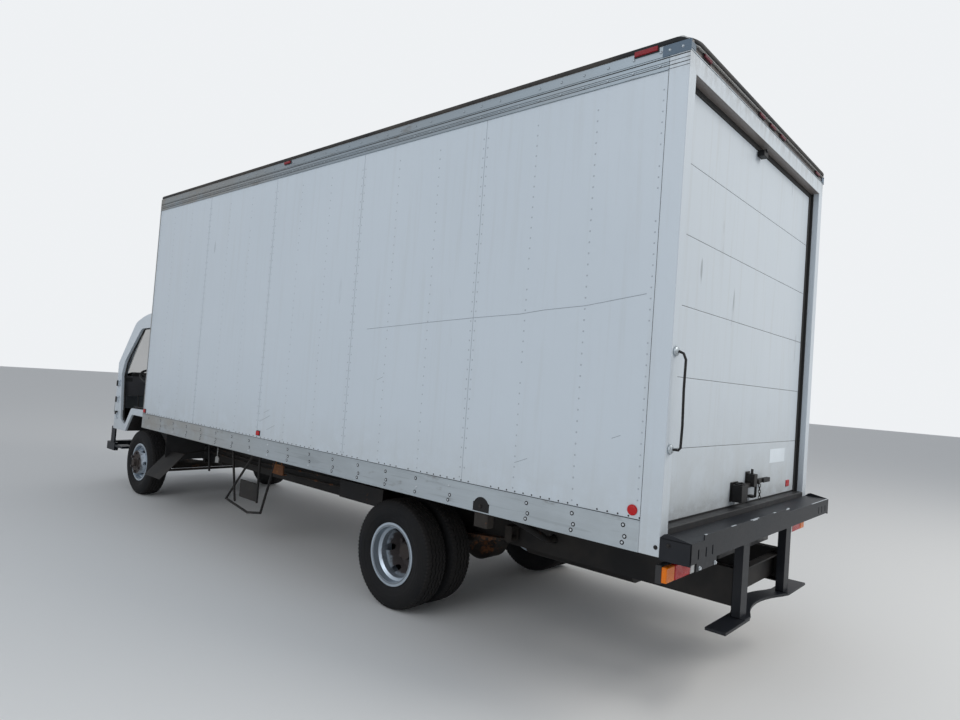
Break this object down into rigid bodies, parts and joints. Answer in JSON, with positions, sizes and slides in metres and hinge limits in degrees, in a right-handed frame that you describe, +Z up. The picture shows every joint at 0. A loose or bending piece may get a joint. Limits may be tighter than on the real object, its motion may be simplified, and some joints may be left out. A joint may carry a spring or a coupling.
{
  "type": "box truck",
  "caption": "Cab-over box truck with a tilting cab, a roll-up rear door, a step bumper and dual rear wheels; its left cab door is missing.",
  "frame": {"origin": "on the ground, midway along the overall length and on the centre line", "axes": "+X to the truck's left, -Y towards its front, +Z up"},
  "size_m": [2.468, 8.118, 3.4667],
  "materials": {
    "body_white": "satin, weathered",
    "cab_white": "gloss, weathered",
    "rail_aluminium": "brushed, scratched",
    "roof_dark": "dirty",
    "chassis_black": "satin, rusty",
    "hardware_black": "satin",
    "rusty_steel": "rusty",
    "engine_iron": "rough",
    "floor_wood": "worn",
    "lens_red": "clear gloss",
    "lens_clear": "clear",
    "cab_glass": "tinted",
    "seat_fabric": "woven",
    "cab_plastic": "grained",
    "wheel_paint": "weathered",
    "tyre": "matte rubber"
  },
  "bodies": {
    "chassis": {"frame": "chassis_black", "front_axle": "chassis_black", "rear_axle": "chassis_black", "leaf_springs": "chassis_black", "engine_block": "engine_iron", "driveshaft": "chassis_black", "fuel_tank": "chassis_black", "exhaust": "rusty_steel", "under_hardware": "chassis_black", "floor_sills": "chassis_black", "load_floor": "floor_wood", "body_walls": "body_white", "body_rails": "rail_aluminium", "roof": "roof_dark", "rear_frame": "body_white", "roll_door": "body_white", "door_hardware": "hardware_black", "marker_lamps": "lens_red", "step_bumper": "chassis_black", "tail_lamps": "lens_red", "front_bumper": "cab_white"},
    "cab": {"cab_roof": "cab_white", "cab_front": "cab_white", "cab_back": "cab_white", "cab_floor": "cab_white", "cab_sides": "cab_white", "cab_glass": "cab_glass", "seats": "seat_fabric", "dashboard": "cab_plastic", "steering_wheel": "cab_plastic", "cab_lamps": "lens_clear"},
    "door_right": {"door_right": "cab_white", "door_glass": "cab_glass", "mirror_right": "cab_plastic"},
    "knuckle_left": {"knuckle_left": "chassis_black"},
    "knuckle_right": {"knuckle_right": "chassis_black"},
    "tie_rod": {"tie_rod": "chassis_black"},
    "wheel_front_left": {"rim_front_left": "wheel_paint", "tyre_front_left": "tyre"},
    "wheel_front_right": {"rim_front_right": "wheel_paint", "tyre_front_right": "tyre"},
    "wheels_rear_left": {"rims_rear_left": "wheel_paint", "tyres_rear_left": "tyre"},
    "wheels_rear_right": {"rims_rear_right": "wheel_paint", "tyres_rear_right": "tyre"}
  },
  "joints": [
    {"name": "cab_tilt", "type": "hinge", "parent": "chassis", "child": "cab", "pos_m": [0, -3.854, 0.7], "axis": [1, 0, 0], "range_deg": [0, 45]},
    {"name": "door_right_swing", "type": "hinge", "parent": "cab", "child": "door_right", "pos_m": [-1.004, -3.604, 1.1], "axis": [0, 0, 1], "range_deg": [0, 70]},
    {"name": "steer_left", "type": "hinge", "parent": "chassis", "child": "knuckle_left", "pos_m": [0.69, -2.979, 0.386], "axis": [0, 0, 1], "range_deg": [-35, 35]},
    {"name": "steer_right", "type": "hinge", "parent": "chassis", "child": "knuckle_right", "pos_m": [-0.69, -2.979, 0.386], "axis": [0, 0, 1], "range_deg": [-35, 35]},
    {"name": "tie_rod_left_end", "type": "hinge", "parent": "knuckle_left", "child": "tie_rod", "pos_m": [0.69, -2.794, 0.3], "axis": [0, 0, 1], "range_deg": [-35, 35]},
    {"name": "spin_front_left", "type": "hinge", "parent": "knuckle_left", "child": "wheel_front_left", "pos_m": [0.8375, -2.979, 0.386], "axis": [1, 0, 0], "continuous": true},
    {"name": "spin_front_right", "type": "hinge", "parent": "knuckle_right", "child": "wheel_front_right", "pos_m": [-0.8375, -2.979, 0.386], "axis": [1, 0, 0], "continuous": true},
    {"name": "spin_rear_left", "type": "hinge", "parent": "chassis", "child": "wheels_rear_left", "pos_m": [0.8275, 1.791, 0.386], "axis": [1, 0, 0], "continuous": true},
    {"name": "spin_rear_right", "type": "hinge", "parent": "chassis", "child": "wheels_rear_right", "pos_m": [-0.8275, 1.791, 0.386], "axis": [1, 0, 0], "continuous": true}
  ],
  "couplings": [
    {"joint": "steer_right", "follows": "steer_left", "ratio": 1},
    {"joint": "tie_rod_left_end", "follows": "steer_left", "ratio": -1}
  ]
}
